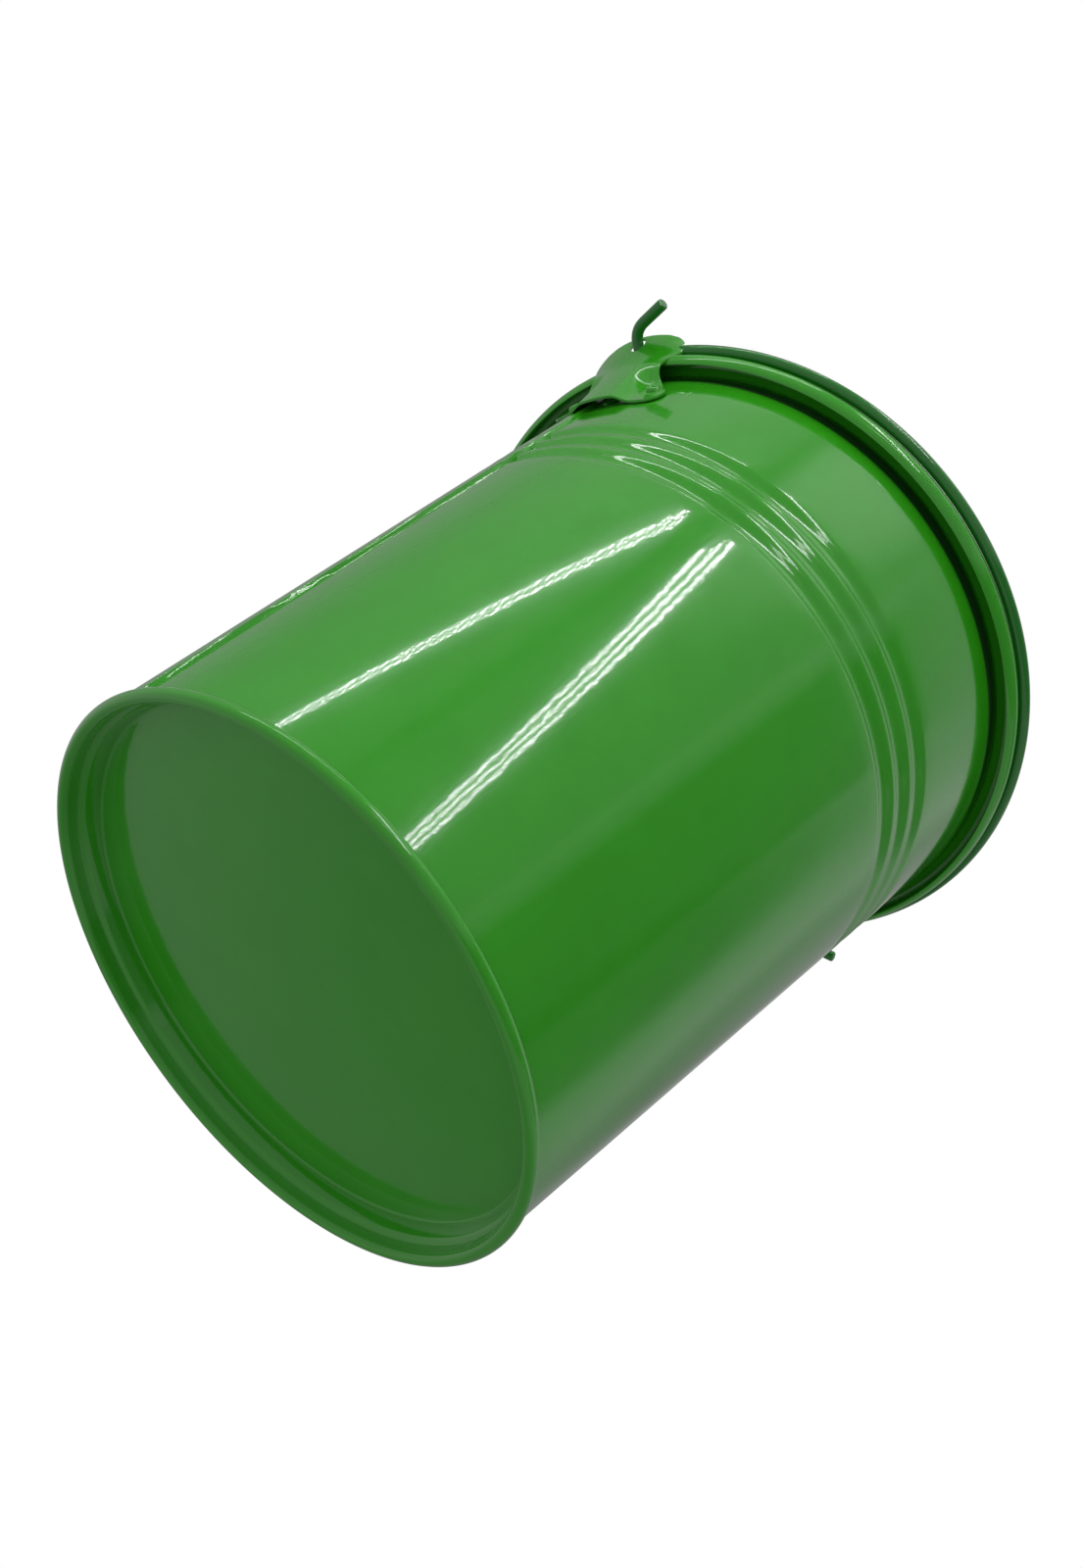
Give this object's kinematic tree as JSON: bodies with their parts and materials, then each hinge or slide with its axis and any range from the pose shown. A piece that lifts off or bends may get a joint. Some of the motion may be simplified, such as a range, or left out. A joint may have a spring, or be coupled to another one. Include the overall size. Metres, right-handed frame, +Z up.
{
  "type": "florist bucket",
  "caption": "Small tapered sheet-steel flower bucket with rolled mouth, grooved band, recessed bottom and a folding wire handle in stamped ears.",
  "frame": {"origin": "centre of the bottom, on the plane the bucket stands on", "axes": "+Z up along the bucket's axis, X through the two ears, the handle folded towards -Y"},
  "size_m": [0.1616, 0.1415, 0.138],
  "materials": {
    "painted_wall": "glossy green enamel on sheet steel",
    "painted_bottom": "glossy green enamel on pressed sheet steel",
    "painted_ear": "glossy green enamel on stamped sheet steel",
    "painted_rivet": "glossy green enamel on steel rivets",
    "painted_wire": "glossy green enamel on drawn steel wire"
  },
  "bodies": {
    "bucket": {"body_shell": "painted_wall", "base_disc": "painted_bottom", "ear_left": "painted_ear", "ear_right": "painted_ear", "rivet_left_front": "painted_rivet", "rivet_left_back": "painted_rivet", "rivet_right_front": "painted_rivet", "rivet_right_back": "painted_rivet"},
    "handle": {"bail_handle": "painted_wire"}
  },
  "joints": [
    {"name": "handle_swing", "type": "hinge", "parent": "bucket", "child": "handle", "pos_m": [0, 0, 0.1358], "axis": [-1, 0, 0], "range_deg": [0, 180]}
  ]
}
